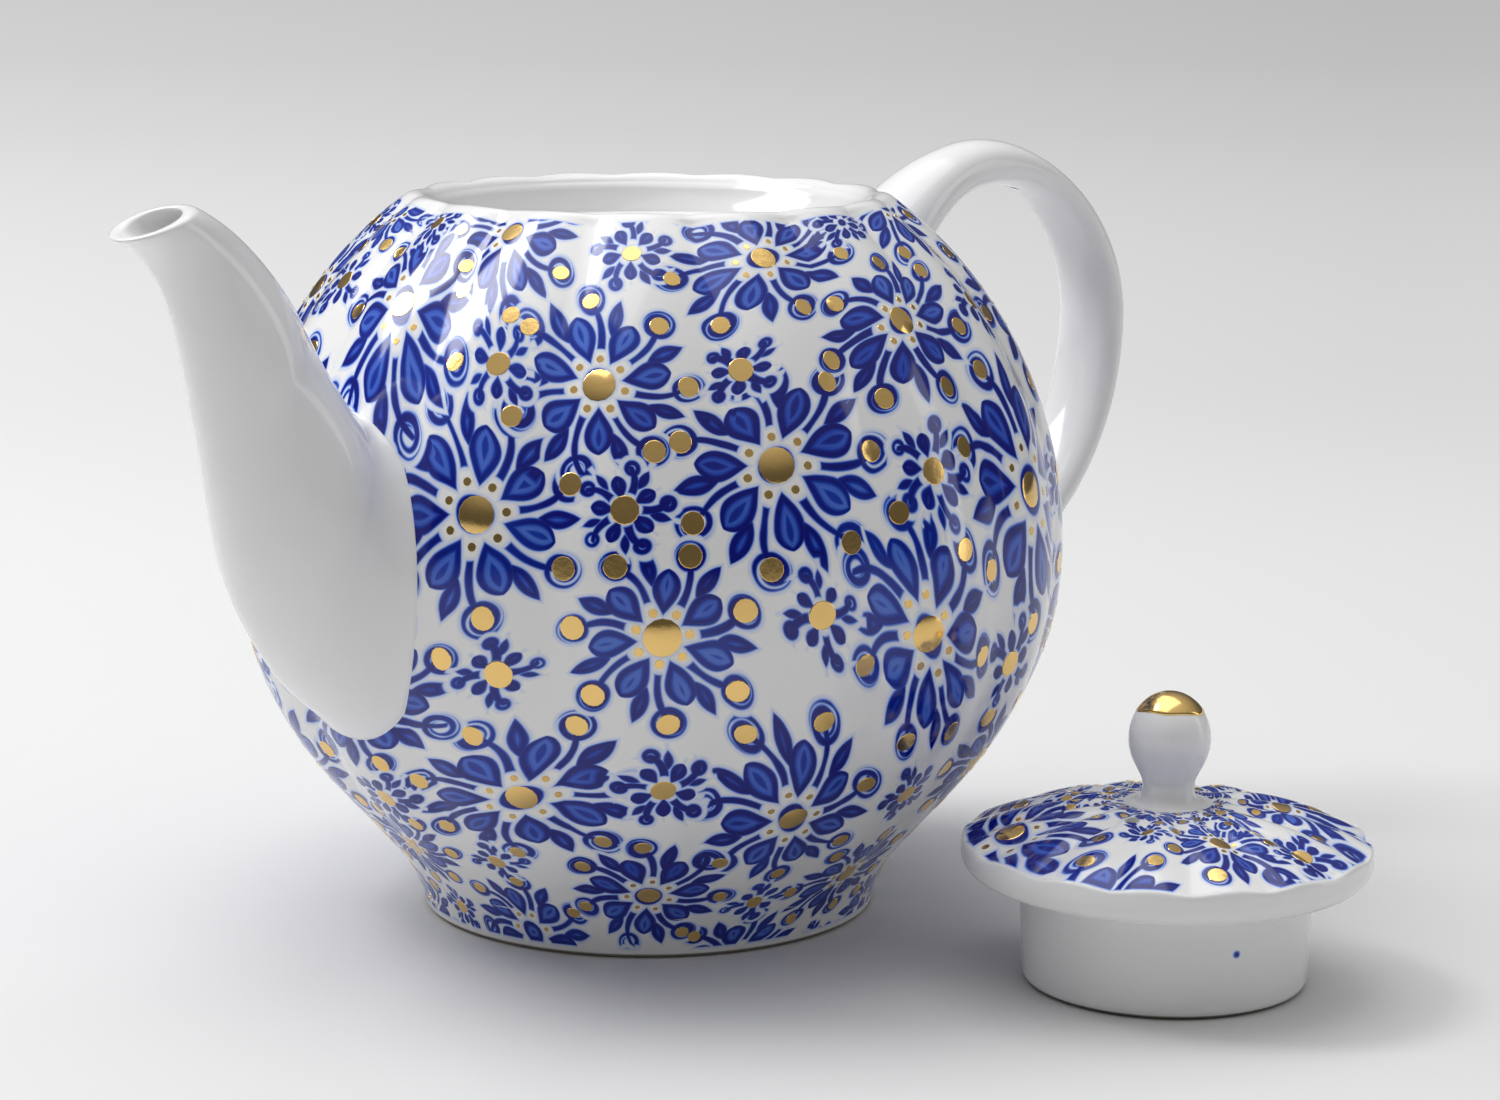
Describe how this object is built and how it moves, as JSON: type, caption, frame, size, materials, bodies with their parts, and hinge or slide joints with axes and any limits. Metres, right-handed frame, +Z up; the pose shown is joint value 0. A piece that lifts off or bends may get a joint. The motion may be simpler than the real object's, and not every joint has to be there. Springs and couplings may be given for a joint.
{
  "type": "porcelain teapot with loose lid",
  "caption": "Round lobed porcelain teapot on a small foot ring, with an S-curved spout, a loop handle, and its knobbed lid lifted off and standing beside it.",
  "frame": {"origin": "centre of the pot's foot ring, on the table", "axes": "+Z up along the pot's axis; the spout points to -X and the handle to +X; the lid stands on its skirt towards -Y"},
  "size_m": [0.2132, 0.1835, 0.118],
  "materials": {
    "painted_porcelain": "white glossy glaze with cobalt blue underglaze painting and small gilded ornaments",
    "white_porcelain": "plain white glossy glaze",
    "gilded_porcelain": "white glossy glaze with a bright burnished gold cap"
  },
  "bodies": {
    "pot": {"body": "painted_porcelain", "spout": "white_porcelain", "handle": "white_porcelain"},
    "lid": {"lid": "painted_porcelain", "knob": "gilded_porcelain"}
  },
  "joints": [
    {"name": "lid_lift", "type": "slide", "parent": "pot", "child": "lid", "axis": [0.133, -0.482, 0.866], "range_m": [0, 0.15]}
  ]
}
